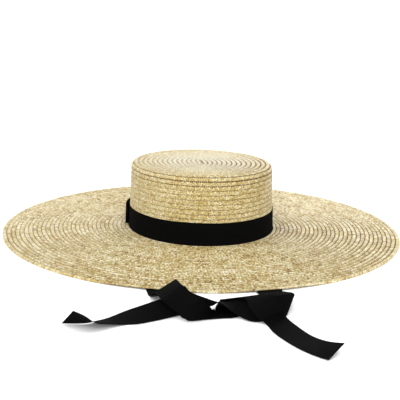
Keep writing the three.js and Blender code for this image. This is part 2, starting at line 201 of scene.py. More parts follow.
TIE_RIGHT_STATIONS = [
    {"place": "sewn", "a": (85.2, 0.4, 34), "b": (82.6, -24.5, 34)},
    {"place": "wall", "a": (84.6, 0.4, 14), "b": (82.0, -24.5, 14)},
    {"place": "turn", "a": (70.8, -9.9, 1.1), "b": (77.2, -34.1, 1.1)},
    {"place": "under crown", "a": (61.2, -37.8, 0.6), "b": (82.8, -50.2, 0.6)},
    {"place": "crown front", "a": (53.8, -85.2, 0.6), "b": (78.2, -90.8, 0.6)},
    {"place": "under brim", "a": (36.0, -160, 0.6), "b": (60.5, -165, 0.6)},
    {"place": "brim edge", "a": (13.0, -251, 0.6), "b": (38.0, -253, 0.6)},
    {"place": "emerge", "a": (11.6, -264, 0.8), "b": (36.6, -266, 3.0)},
    {"place": "bend", "photo_a": (286.0, 313.8, 1.0), "photo_b": (294.6, 294.6), "other": "far"},
    {"place": "face right", "photo_a": (276, 318.0, 0.8), "photo_b": (285.5, 294.4), "other": "far"},
    {"place": "face mid", "photo_a": (262, 321.6, 0.8), "photo_b": (268, 296.9), "other": "far"},
    {"place": "face left", "photo_a": (250, 321.0, 0.8), "photo_b": (250, 298.5), "other": "far"},
    {"place": "knot right", "photo_a": (240.5, 316.8, 2.2), "photo_b": (237, 299.5), "other": "far"},
    {"place": "knot", "photo_a": (230.5, 310.3, 7.0), "photo_b": (228, 301.6), "other": "far"},
    {"place": "knot left", "photo_a": (221, 303.6, 10.5), "photo_b": (219.5, 301.8), "other": "far"},
    {"place": "behind low", "photo_a": (209.5, 299.4), "photo_b": (210.3, 306.4, 2.3), "other": "near"},
    {"place": "behind", "photo_a": (191, 292.2, 21.5), "photo_b": (191, 309.5), "other": "far"},
    {"place": "upright", "a": (-68.5, -300.3, 24.3), "b": (-68.5, -308.0, 0.7)},
    {"place": "leaning", "photo_a": (175, 294.0), "photo_b": (175, 316.5, 0.8), "other": "far"},
    {"place": "tail near", "photo_a": (160, 299.2), "photo_b": (160, 319.8, 0.6), "other": "far"},
    {"place": "tail low", "photo_a": (140, 305.9), "photo_b": (140, 323.6, 0.6), "other": "far"},
    {"place": "tail flat", "photo_a": (125.5, 311.0), "photo_b": (125.5, 324.6, 0.6), "other": "far"},
    {"place": "twist start", "photo_a": (109, 317.5, 0.8), "photo_b": (109, 324.0), "other": "near"},
    {"place": "twist", "photo_a": (96, 320.9, 0.8), "photo_b": (96, 323.0), "other": "near"},
    {"place": "twist end", "photo_a": (84, 323.2, 0.6), "photo_b": (84.4, 316.1), "other": "near"},
    {"place": "tail end", "photo_a": (61.5, 323.2, 0.6), "photo_b": (73, 311.0), "other": "near"},
]
# The route is rounded to a tenth of a millimetre and a whole degree
ROUTE_PARTS_PER_MM = 10.0


def smooth_step(value):
    t = np.clip(value, 0.0, 1.0)
    return t * t * (3.0 - 2.0 * t)


def random_values(count, seed):
    return np.random.default_rng(SEED + seed).random(count)


def grid_mesh(points, uvs, closed_section=False, caps=False, flipped=False):
    """Mesh over a grid of points (columns, section, 3), with a UV for each grid point.
    flipped turns the faces round."""
    columns, size = points.shape[:2]
    uv_size = uvs.shape[1]
    steps = size if closed_section else size - 1
    i = np.arange(columns - 1)[:, None]
    j = np.arange(steps)[None, :]
    k = (j + 1) % size
    faces = np.stack([i * size + j, i * size + k, (i + 1) * size + k, (i + 1) * size + j], -1)
    uv_faces = np.stack(
        [i * uv_size + j, i * uv_size + j + 1, (i + 1) * uv_size + j + 1, (i + 1) * uv_size + j], -1
    )
    faces = faces.reshape(-1, 4)
    uv_faces = uv_faces.reshape(-1, 4)
    if caps:
        half = size // 2
        for column, flip in ((0, False), (columns - 1, True)):
            base = column * size
            for a in range(half - 1):
                quad = [base + a, base + size - 1 - a, base + size - 2 - a, base + a + 1]
                uv_quad = [column * uv_size + q - base for q in quad]
                if flip:
                    quad, uv_quad = quad[::-1], uv_quad[::-1]
                faces = np.vstack([faces, quad])
                uv_faces = np.vstack([uv_faces, uv_quad])
    if flipped:
        faces, uv_faces = faces[:, ::-1], uv_faces[:, ::-1]
    return faces, uv_faces, points.reshape(-1, 3), uvs.reshape(-1, 2)


def mesh_object(name, grids, material):
    """One object from several grids. Coordinates in mm, written in metres."""
    vertices, corners, corner_uvs = [], [], []
    offset = 0
    for faces, uv_faces, points, uvs in grids:
        vertices.append(points)
        corners.append(faces + offset)
        corner_uvs.append(uvs[uv_faces.reshape(-1)])
        offset += len(points)
    vertices = np.concatenate(vertices).astype(np.float32) * MM
    corners = np.concatenate(corners).astype(np.int32)
    corner_uvs = np.concatenate(corner_uvs).astype(np.float32)
    mesh = bpy.data.meshes.new(name)
    mesh.vertices.add(len(vertices))
    mesh.vertices.foreach_set("co", vertices.ravel())
    mesh.loops.add(corners.size)
    mesh.loops.foreach_set("vertex_index", corners.ravel())
    mesh.polygons.add(len(corners))
    mesh.polygons.foreach_set("loop_start", np.arange(0, corners.size, 4, dtype=np.int32))
    mesh.polygons.foreach_set("use_smooth", np.ones(len(corners), dtype=bool))
    layer = mesh.uv_layers.new(name="weave")
    layer.uv.foreach_set("vector", corner_uvs.ravel())
    mesh.update(calc_edges=True)
    mesh.validate()
    mesh.materials.append(material)
    made = bpy.data.objects.new(name, mesh)
    bpy.context.scene.collection.objects.link(made)
    return made


# Straw surfaces

def oval(outset, z, angle):
    """Points on the crown's oval, moved outwards by outset, at height z."""
    x = (CROWN_HALF_WIDTH + outset) * np.cos(angle)
    y = (CROWN_HALF_LENGTH + outset) * np.sin(angle)
    return np.stack(np.broadcast_arrays(x, y, z), -1)


def crown_surface(along, angle, lift, wall=0.0):
    """Crown from the middle of the tip, along the profile to the foot, raised by lift."""
    radius = TIP_CORNER_RADIUS - wall
    corner_inset = CROWN_TAPER + TIP_CORNER_RADIUS
    flat = CROWN_HALF_WIDTH - corner_inset
    turn = np.clip((along - flat) / TIP_CORNER_RADIUS, 0.0, math.pi / 2)
    side = np.maximum(along - flat - TIP_CORNER_RADIUS * math.pi / 2, 0.0)
    inset = CROWN_HALF_WIDTH - np.minimum(along, flat)
    inset = inset - radius * np.sin(turn)
    z = CROWN_HEIGHT - TIP_CORNER_RADIUS + radius * np.cos(turn) - side
    drop = CROWN_HEIGHT - TIP_CORNER_RADIUS - BRIM_UNDERSIDE_AT_CROWN
    inset = inset - CROWN_TAPER * side / drop
    return oval(-inset + lift * np.sin(turn), z + lift * np.cos(turn), angle)


def arch_lift(angle, key):
    degrees = np.degrees(angle) % 360.0
    lift = np.zeros_like(degrees)
    for arch in TIE_ARCHES:
        away = np.abs(degrees - arch["azimuth"])
        share = 1.0 - smooth_step((away - TIE_ARCH_FLAT_HALF_SPAN) / TIE_ARCH_RAMP)
        lift = np.maximum(lift, arch[key] * share)
    return lift


def brim_height(along, angle, key):
    fraction = along / BRIM_WIDTH
    dropped = smooth_step((fraction - BRIM_DROP_START) / (BRIM_DROP_END - BRIM_DROP_START))
    return BRIM_UNDERSIDE_AT_CROWN * (1.0 - dropped) + arch_lift(angle, key) * dropped


def brim_top_surface(along, angle, lift):
    return oval(along, brim_height(along, angle, "top") + BRIM_THICKNESS + lift, angle)


def brim_under_surface(along, angle, lift):
    z = brim_height(along, angle, "underside") - lift
    return oval(along, np.maximum(z, BRIM_FLOOR_GAP), angle)


def plait_height(u, v):
    """Height 0 to 1 of a plain weave laid on the bias, one cell a unit square of u+v and u-v."""
    a, b = u + v, u - v
    over = (np.floor(a) + np.floor(b)) % 2.0
    fa, fb = a % 1.0, b % 1.0
    run = np.where(over > 0.5, fa, fb)
    across = np.where(over > 0.5, fb, fa)
    return np.sin(math.pi * run) * (1.0 - np.abs(2.0 * across - 1.0) ** PLAIT_FLATNESS)


def spiral_shift(turned):
    """Rows step out by one row over the last part of each turn, so that they form one spiral."""
    return smooth_step((turned - SPIRAL_RAMP_START) / (1.0 - SPIRAL_RAMP_START))


def walked_along(path):
    """Distance walked from the start of a path to each of its points."""
    return np.concatenate([[0.0], np.cumsum(np.linalg.norm(np.diff(path, axis=0), axis=1))])


def row_columns(middle_outset, step):
    """Azimuths round one row at an even spacing, and the distance along it, mm."""
    turned = np.linspace(0.0, 2.0 * math.pi, ROW_WALK_POINTS)
    walked = walked_along(oval(middle_outset, 0.0, SPIRAL_BACK + turned))
    count = max(FEWEST_COLUMNS, int(round(walked[-1] / step)))
    distance = np.linspace(0.0, walked[-1], count + 1)
    return np.interp(distance, walked, turned), distance


def braid_rows(surface, bounds, rows, outset_of, step, seed, inside=False, flat_from=None):
    """Grids of the lapped rows with the given row numbers. bounds are the row edges, mm. The inside
    of the straw is plainer and faces the other way. From the row flat_from on, the laps are flatter."""
    grids = []
    row_edges = np.arange(len(bounds))
    phases = random_values(len(bounds) + 1, seed)
    fractions = ROW_FRACTIONS[::2] if inside else ROW_FRACTIONS
    lifts = ROW_LIFTS[::2] if inside else ROW_LIFTS
    for row in rows:
        middle = np.interp(min(row + 1.0, len(bounds) - 1.0), row_edges, bounds)
        turned, distance = row_columns(outset_of(middle), step)
        shift = spiral_shift(turned / (2.0 * math.pi))
        u = distance[:, None] / PLAIT_PERIOD + phases[row + 1]
        place = row + shift[:, None] + fractions[None, :]
        scallop = ROW_SCALLOP * np.cos(2.0 * math.pi * u) * (fractions[None, :] > SCALLOPED_FROM)
        along = np.interp(np.clip(place + scallop, 0.0, len(bounds) - 1.0), row_edges, bounds)
        v = PLAITS_PER_ROW * (row + fractions[None, :])
        relief_v = v * RELIEF_PLAITS_PER_ROW / PLAITS_PER_ROW
        relief = 0.0 if inside else plait_height(u, relief_v) * PLAIT_LIFT
        lap = FLAT_LAP if flat_from is not None and row >= flat_from else 1.0
        lift = lap * lifts[None, :] + relief
        points = surface(along, SPIRAL_BACK + turned[:, None], lift)
        uvs = np.stack(np.broadcast_arrays(u, v), -1)
        visible = np.flatnonzero(along[:, -1] - along[:, 1] > THINNEST_ROW)
        if len(visible) > 2:
            seen = slice(visible[0], visible[-1] + 1)
            grids.append(grid_mesh(points[seen], uvs[seen], flipped=inside))
    return grids


def crown_outset(along):
    """Outset of the crown's outline from its foot oval at one place on the profile."""
    point = crown_surface(np.float64(along), np.float64(0.0), 0.0)
    return float(point[0]) - CROWN_HALF_WIDTH


def edge_roll(step):
    """Outer edge of the brim: the last plait, rounded from the top to the underside."""
    turned, distance = row_columns(BRIM_WIDTH, step)
    angle = SPIRAL_BACK + turned[:, None]
    u = distance[:, None] / PLAIT_PERIOD
    round_steps = np.linspace(0.0, math.pi, EDGE_STEPS)[None, :]
    top = brim_height(BRIM_WIDTH, angle, "top") + BRIM_THICKNESS + EDGE_TOP_LIFT
    bottom = brim_height(BRIM_WIDTH, angle, "underside") + BRIM_FLOOR_GAP
    middle, half = (top + bottom) / 2.0, (top - bottom) / 2.0
    lump = EDGE_SIDE_LUMP * np.cos(2.0 * math.pi * u) * np.sin(round_steps)
    lump = lump - EDGE_TOP_LUMP * np.cos(2.0 * math.pi * u) * np.cos(round_steps)
    bulge = np.sin(round_steps) ** EDGE_SQUARENESS
    rise = np.sign(np.cos(round_steps)) * np.abs(np.cos(round_steps)) ** EDGE_SQUARENESS
    out = BRIM_WIDTH - EDGE_INSET + (1.0 + lump) * bulge
    points = oval(out, middle + half * rise, angle)
    v = PLAITS_PER_ROW * (BRIM_ROWS - EDGE_ROWS_BACK + EDGE_ROWS_SPAN * round_steps / math.pi)
    return grid_mesh(points, np.stack(np.broadcast_arrays(u, v), -1))


def foot_turn():
    """Inside of the fold between crown and brim, seen from below."""
    profile = np.array(FOOT_TURN_ROWS)
    angle = np.linspace(0.0, 2.0 * math.pi, FOOT_TURN_COLUMNS + 1)[:, None]
    points = oval(profile[None, :, 0], profile[None, :, 1], angle)
    u = angle * (CROWN_HALF_WIDTH + CROWN_HALF_LENGTH) / 2.0 / PLAIT_PERIOD
    v = np.linspace(0.0, PLAITS_PER_ROW, len(profile))[None, :]
    return grid_mesh(points, np.stack(np.broadcast_arrays(u, v), -1), flipped=True)


# Ribbon

def catmull_rom(values, places):
    last = len(values) - 1
    i = np.minimum(places.astype(int), last - 1)
    t = (places - i)[:, None]
    before, start = values[np.maximum(i - 1, 0)], values[i]
    end, after = values[i + 1], values[np.minimum(i + 2, last)]
    return (
        before * (-0.5 * t + t ** 2 - 0.5 * t ** 3)
        + start * (1.0 - 2.5 * t ** 2 + 1.5 * t ** 3)
        + end * (0.5 * t + 2.0 * t ** 2 - 1.5 * t ** 3)
        + after * (-0.5 * t ** 2 + 0.5 * t ** 3)
    )


def unit(vectors):
    return vectors / np.linalg.norm(vectors, axis=-1, keepdims=True)


def photo_view():
    """Axes and place of the camera: forward, up, right, place."""
    elevation, azimuth = math.radians(VIEW_ELEVATION), math.radians(VIEW_AZIMUTH)
    level = np.array([math.sin(azimuth), math.cos(azimuth), 0.0])
    rise = np.array([0.0, 0.0, 1.0])
    forward = math.cos(elevation) * level - math.sin(elevation) * rise
    up = math.sin(elevation) * level + math.cos(elevation) * rise
    right = np.array([math.cos(azimuth), -math.sin(azimuth), 0.0])
    return forward, up, right, -VIEW_DISTANCE * forward


def sight_line(view, column, row):
    """Direction in which the camera sees one place on the photograph."""
    forward, up, right, _ = view
    roll = math.radians(VIEW_ROLL)
    across, below = column - VIEW_CENTRE_COLUMN, row - VIEW_CENTRE_ROW
    sideways = (across * math.cos(roll) + below * math.sin(roll)) / VIEW_FOCAL
    down = (below * math.cos(roll) - across * math.sin(roll)) / VIEW_FOCAL
    return unit(forward + right * sideways - up * down)


def edge_at_height(view, column, row, height):
    sight, place = sight_line(view, column, row), view[3]
    return place + sight * (height - place[2]) / sight[2]


def edge_across(view, seen, known, other):
    """Edge one ribbon width from a known edge, or as near to that as its sight line comes."""
    sight, place = sight_line(view, *seen), view[3]
    offset = place - known
    closest = -sight @ offset
    half = math.sqrt(max(closest ** 2 - offset @ offset + TIE_WIDTH ** 2, 0.0))
    return place + sight * (closest - half if other == "near" else closest + half)


def station_edges(view, station):
    if "a" in station:
        return np.array(station["a"], dtype=float), np.array(station["b"], dtype=float)
    seen_a, seen_b = station["photo_a"], station["photo_b"]
    edge_a = edge_at_height(view, *seen_a) if len(seen_a) == 3 else None
    edge_b = edge_at_height(view, *seen_b) if len(seen_b) == 3 else None
    if edge_a is None:
        edge_a = edge_across(view, seen_a, edge_b, station["other"])
    if edge_b is None:
        edge_b = edge_across(view, seen_b, edge_a, station["other"])
    return edge_a, edge_b


def route_row(view, station):
    """Centre of the ribbon, compass direction of its width from a to b, and rise of its width."""
    edge_a, edge_b = station_edges(view, station)
    width = unit(edge_b - edge_a)
    centre = np.floor((edge_a + edge_b) / 2.0 * ROUTE_PARTS_PER_MM + 0.5) / ROUTE_PARTS_PER_MM
    across = math.floor(math.degrees(math.atan2(width[1], width[0])) + 0.5)
    tilt = math.floor(math.degrees(math.asin(width[2])) + 0.5)
    return [*centre, across, tilt]


def rib_wave(distance, pitch):
    """Ribs over the length of a ribbon; its two edges are plain."""
    ribbed = np.abs(RIBBON_SECTION) < RIBBED_HALF
    return RIB_DEPTH * np.cos(2.0 * math.pi * distance / pitch)[:, None] * ribbed[None, :]


def ribbon_uvs(distance, width):
    """UV in mm: along the ribbon, and across it on both faces."""
    side = RIBBON_SECTION
    v = np.concatenate([side, side[::-1], side[:1]]) * width / 2.0
    return np.stack(np.broadcast_arrays(distance[:, None], v[None, :]), -1)


def ribbon_grid(spine, normal, distance, width):
    """Ribbon with its thickness and its ribs on both sides of a spine (columns, section, 3)."""
    half = RIBBON_HALF_THICKNESS[None, :] + rib_wave(distance, RIB_PITCH)
    thickness = half[..., None] * normal[:, None, :]
    points = np.concatenate([spine - thickness, (spine + thickness)[:, ::-1]], 1)
    return grid_mesh(points, ribbon_uvs(distance, width), closed_section=True, caps=True)


def tie_grid(stations):
    """Ribbon swept along its route, with its ribs, never below the surface it lies on."""
    view = photo_view()
    table = np.array([route_row(view, station) for station in stations])
    across_angle, tilt = np.radians(table[:, 3]), np.radians(table[:, 4])
    widths = np.stack(
        [np.cos(tilt) * np.cos(across_angle), np.cos(tilt) * np.sin(across_angle), np.sin(tilt)], -1
    )
    centres = table[:, :3]
    last = len(stations) - 1
    fine = np.linspace(0.0, last, last * ROUTE_STEPS + 1)
    walked = walked_along(catmull_rom(centres, fine))
    ribs = int(round(walked[-1] / RIB_PITCH))
    distance = np.linspace(0.0, walked[-1], ribs * RIB_SAMPLES + 1)
    places = np.interp(distance, walked, fine)
    centre = catmull_rom(centres, places)
    across = unit(catmull_rom(widths, places))
    tangent = np.gradient(centre, axis=0)
    normal = unit(np.cross(tangent, across))
    sideways = RIBBON_SECTION * TIE_WIDTH / 2.0
    spine = centre[:, None, :] + across[:, None, :] * sideways[None, :, None]
    spine[..., 2] = np.maximum(spine[..., 2], FLOOR_CLEARANCE)
    return ribbon_grid(spine, normal, distance, TIE_WIDTH), walked[-1]


def crown_side_inset(z):
    drop = CROWN_HEIGHT - BRIM_UNDERSIDE_AT_CROWN
    return CROWN_TAPER * (z - BRIM_UNDERSIDE_AT_CROWN) / drop


def band_grid():
    """Band round the foot of the crown, with ribs that run up and down."""
    turned, distance = row_columns(BAND_OUTER, RIB_PITCH / RIB_SAMPLES)
    length = distance[-1]
    ribs = round(length / RIB_PITCH)
    angle = SPIRAL_BACK + turned
    side = RIBBON_SECTION
    height = BAND_BOTTOM + BAND_HEIGHT * (side + 1.0) / 2.0
    wave = sum(tall * np.sin(count * angle + phase) for count, tall, phase in BAND_WAVES)
    z = height[None, :] + wave[:, None] * ((side + 1.0) / 2.0)[None, :]
    rib = rib_wave(distance, length / ribs)
    flare = BAND_FLARE * np.clip((-side - BAND_FLARE_FROM) / (1.0 - BAND_FLARE_FROM), 0.0, 1.0)
    edge = RIBBON_HALF_THICKNESS.max() - RIBBON_HALF_THICKNESS
    outer = BAND_OUTER - BAND_SKIN - edge[None, :] + rib + flare[None, :]
    inner = BAND_INNER + BAND_SKIN + flare[None, :]
    inset = crown_side_inset(z)
    out = np.concatenate([outer - inset, (inner - inset)[:, ::-1]], 1)
    tall = np.concatenate([z, z[:, ::-1]], 1)
    points = oval(out, tall, angle[:, None])
    uvs = ribbon_uvs(distance, BAND_HEIGHT)
    return grid_mesh(points, uvs, closed_section=True, flipped=True), length


def lap_grid():
    """Folded ribbon end that closes the band: in along the band, round the fold and back."""
    inner, outer = BAND_OUTER + LAP_INNER_GAP, LAP_OUTER - LAP_OUTER_GAP
    middle, radius = (inner + outer) / 2.0, (outer - inner) / 2.0
    mean_radius = (CROWN_HALF_WIDTH + CROWN_HALF_LENGTH) / 2.0
    start, end = math.radians(LAP_START_AZIMUTH), math.radians(LAP_END_AZIMUTH)
    fold = end - radius / mean_radius
    straight = np.linspace(start, fold, LAP_STEPS)
    turns = np.linspace(-math.pi / 2, math.pi / 2, LAP_FOLD_STEPS)[1:-1]
    angle = np.concatenate([straight, fold + radius * np.cos(turns) / mean_radius, straight[::-1]])
    fold_out = middle + radius * np.sin(turns)
    out = np.concatenate([np.full(LAP_STEPS, inner), fold_out, np.full(LAP_STEPS, outer)])
    walked = walked_along(oval(out, 0.0, angle))
    distance = np.linspace(0.0, walked[-1], int(walked[-1] / RIB_PITCH) * RIB_SAMPLES + 1)
    angle, out = np.interp(distance, walked, angle), np.interp(distance, walked, out)
    tangent = unit(np.gradient(oval(out, 0.0, angle), axis=0))
    normal = np.stack([tangent[:, 1], -tangent[:, 0], np.zeros_like(angle)], -1)
    share_up = (RIBBON_SECTION + 1.0) / 2.0
    z = BAND_BOTTOM + LAP_EDGE_GAP + (BAND_HEIGHT - 2.0 * LAP_EDGE_GAP) * share_up
    spine = oval(out[:, None] - crown_side_inset(z)[None, :], z[None, :], angle[:, None])
    return ribbon_grid(spine, normal, distance, BAND_HEIGHT), walked[-1]


# Materials

# The Mix node has sockets of the same name for each kind of value; these are the colour ones
MIX_FIRST_COLOUR = 6
MIX_SECOND_COLOUR = 7
MIX_RESULT_COLOUR = 2


class Nodes:
    """Short way to write a node tree: each call returns an output socket."""

    def __init__(self, name):
        self.material = bpy.data.materials.new(name)
        self.material.use_nodes = True
        self.tree = self.material.node_tree
        self.shader = self.tree.nodes["Principled BSDF"]

    def feed(self, socket, value):
        if isinstance(value, bpy.types.NodeSocket):
            self.tree.links.new(value, socket)
        elif value is not None:
            socket.default_value = value

    def math(self, operation, *values):
        node = self.tree.nodes.new("ShaderNodeMath")
        node.operation = operation
        for socket, value in zip(node.inputs, values):
            self.feed(socket, value)
        return node.outputs[0]

    def about_zero(self, value, span):
        """A value of 0 to 1, spread over the given span about zero."""
        return self.math("MULTIPLY_ADD", value, span, -span / 2.0)

    def combine(self, x, y, z):
        node = self.tree.nodes.new("ShaderNodeCombineXYZ")
        for socket, value in zip(node.inputs, (x, y, z)):
            self.feed(socket, value)
        return node.outputs[0]

    def uv(self):
        node = self.tree.nodes.new("ShaderNodeUVMap")
        node.uv_map = "weave"
        split = self.tree.nodes.new("ShaderNodeSeparateXYZ")
        self.feed(split.inputs[0], node.outputs[0])
        return split.outputs[0], split.outputs[1]

    def place(self):
        return self.tree.nodes.new("ShaderNodeTexCoord").outputs["Object"]

    def direction(self, towards):
        """1 on the side of the hat that lies that way from its middle, -1 on the other side."""
        x, y = math.cos(math.radians(towards)), math.sin(math.radians(towards))
        flat = self.vector("MULTIPLY", self.place(), (1.0, 1.0, 0.0))
        return self.vector("DOT_PRODUCT", self.vector("NORMALIZE", flat), (x, y, 0.0))

    def vector(self, operation, *values):
        node = self.tree.nodes.new("ShaderNodeVectorMath")
        node.operation = operation
        for socket, value in zip(node.inputs, values):
            self.feed(socket, value)
        return node.outputs["Value" if operation == "DOT_PRODUCT" else "Vector"]

    def white(self, vector):
        node = self.tree.nodes.new("ShaderNodeTexWhiteNoise")
        node.noise_dimensions = "3D"
        self.feed(node.inputs["Vector"], vector)
        return node.outputs["Value"]

    def noise(self, vector, scale, detail=2.0, roughness=0.5):
        node = self.tree.nodes.new("ShaderNodeTexNoise")
        self.feed(node.inputs["Vector"], vector)
        node.inputs["Scale"].default_value = scale
        node.inputs["Detail"].default_value = detail
        node.inputs["Roughness"].default_value = roughness
        return node.outputs["Fac"]

    def ramp(self, value, stops):
        node = self.tree.nodes.new("ShaderNodeValToRGB")
        ramp = node.color_ramp
        while len(ramp.elements) < len(stops):
            ramp.elements.new(0.5)
        for element, (place, colour) in zip(ramp.elements, stops):
            element.position = place
            element.color = (*linear(colour), 1.0)
        self.feed(node.inputs[0], value)
        return node.outputs[0]

    def tint(self, share, first, second):
        """The first colour, with a share of the second one, given in 0 to 255 screen values."""
        node = self.tree.nodes.new("ShaderNodeMix")
        node.data_type = "RGBA"
        self.feed(node.inputs["Factor"], share)
        self.feed(node.inputs[MIX_FIRST_COLOUR], first)
        self.feed(node.inputs[MIX_SECOND_COLOUR], (*linear(second), 1.0))
        return node.outputs[MIX_RESULT_COLOUR]

    def bump(self, height, distance, strength=1.0):
        node = self.tree.nodes.new("ShaderNodeBump")
        node.inputs["Distance"].default_value = distance
        node.inputs["Strength"].default_value = strength
        self.feed(node.inputs["Height"], height)
        return node.outputs[0]

    def remap(self, value, low, high, to_low, to_high):
        node = self.tree.nodes.new("ShaderNodeMapRange")
        names = ("From Min", "From Max", "To Min", "To Max")
        for name, number in zip(names, (low, high, to_low, to_high)):
            node.inputs[name].default_value = number
        self.feed(node.inputs["Value"], value)
        return node.outputs[0]


def linear(colour):
    """Linear colour from 0 to 255 screen values, by the sRGB formula."""
    shares = [c / 255.0 for c in colour]
    return [s / 12.92 if s <= 0.04045 else ((s + 0.055) / 1.055) ** 2.4 for s in shares]


# Looks of the straw
STRAW_TONES = [
    (0.0, (120, 82, 22)),
    (0.15, (156, 122, 46)),
    (0.4, (190, 164, 92)),
    (0.65, (210, 192, 133)),
    (0.85, (230, 219, 172)),
    (1.0, (247, 242, 212)),
]
# Painted shade in the dips of the weave, where one strand goes under the next
GAP_SHADE_COLOUR = (130, 96, 32)
# Colour of the painted shade along the row lines
SEAM_SHADE_COLOUR = (92, 60, 4)
TIP_SEAM_ROWS = (15.0, 17.0)
# Paler middle of the tip: partly the straw's paler tone, partly a painted sheen of light on the tip
BLEACH_AND_SHEEN_COLOUR = (226, 225, 208)
BLEACH_AND_SHEEN_ROWS = (5.0, 14.0)
DASHES_PER_PLAIT = 1.0
DASH_SHARE = 0.55
STREAKS_PER_PLAIT = 0.12
DASH_STAGGER = 0.37
STREAK_STAGGER = 0.61
CELL_SEED = 3.0
DASH_SEED = 11.0
STREAK_SEED = 17.0
FIBRES_PER_STRAND = 9.0
FIBRE_DETAIL = 3.0
FIBRE_ROUGHNESS = 0.6
FIBRE_TONE = 0.4
FIBRE_RELIEF = 0.25
PATCH_SCALE = 22.0
PATCH_DETAIL = 3.0
PATCH_ROUGHNESS = 0.55
PATCH_TONE = 0.3
PLAIT_ROUNDNESS = 0.7
# Painted shade in the weave's dips: the plait heights over which it fades out, and its strength
GAP_SHADE_HEIGHTS = (0.05, 0.5)
GAP_SHADE_DEPTH = 0.7
# Shape of the painted shade line along the row laps
SEAM_RAGGEDNESS = 0.1
SEAM_SOFTNESS = 0.1
SEAM_FULL_FROM = 0.35
SEAM_MATTNESS = 0.4
STRAW_ROUGHNESS = (0.42, 0.6)
STRAW_SPECULAR = 0.4
STRAW_SHEEN = 0.1
STRAW_SHEEN_ROUGHNESS = 0.4
STRAW_BUMP = 0.0005

# Looks of the ribbon
RIBBON_TONES = [(0.25, (6, 6, 6)), (0.75, (10, 10, 10))]
RIBBON_SPECULAR = 0.02
RIBBON_BUMP = 0.0001
RIBBON_BUMP_STRENGTH = 0.6
RIB_RELIEF = 0.5
WEFT_RELIEF = 0.2
LINT_SCALE = 900.0
LINT_ROUGHNESS = 0.6
LINT_SHARE = 0.5
CLOUD_SCALE = 30.0
CLOUD_SHARE = 0.5
CLOUD_SPAN = (0.2, 0.8)
RIBBON_ROUGHNESS = (0.75, 0.9)

# Looks of the floor
FLOOR_TONES = [(0.3, (249, 249, 249)), (0.7, (252, 252, 252))]
FLOOR_CLOUD_SCALE = 3.0
FLOOR_ROUGHNESS = 0.9
FLOOR_SPECULAR = 0.1


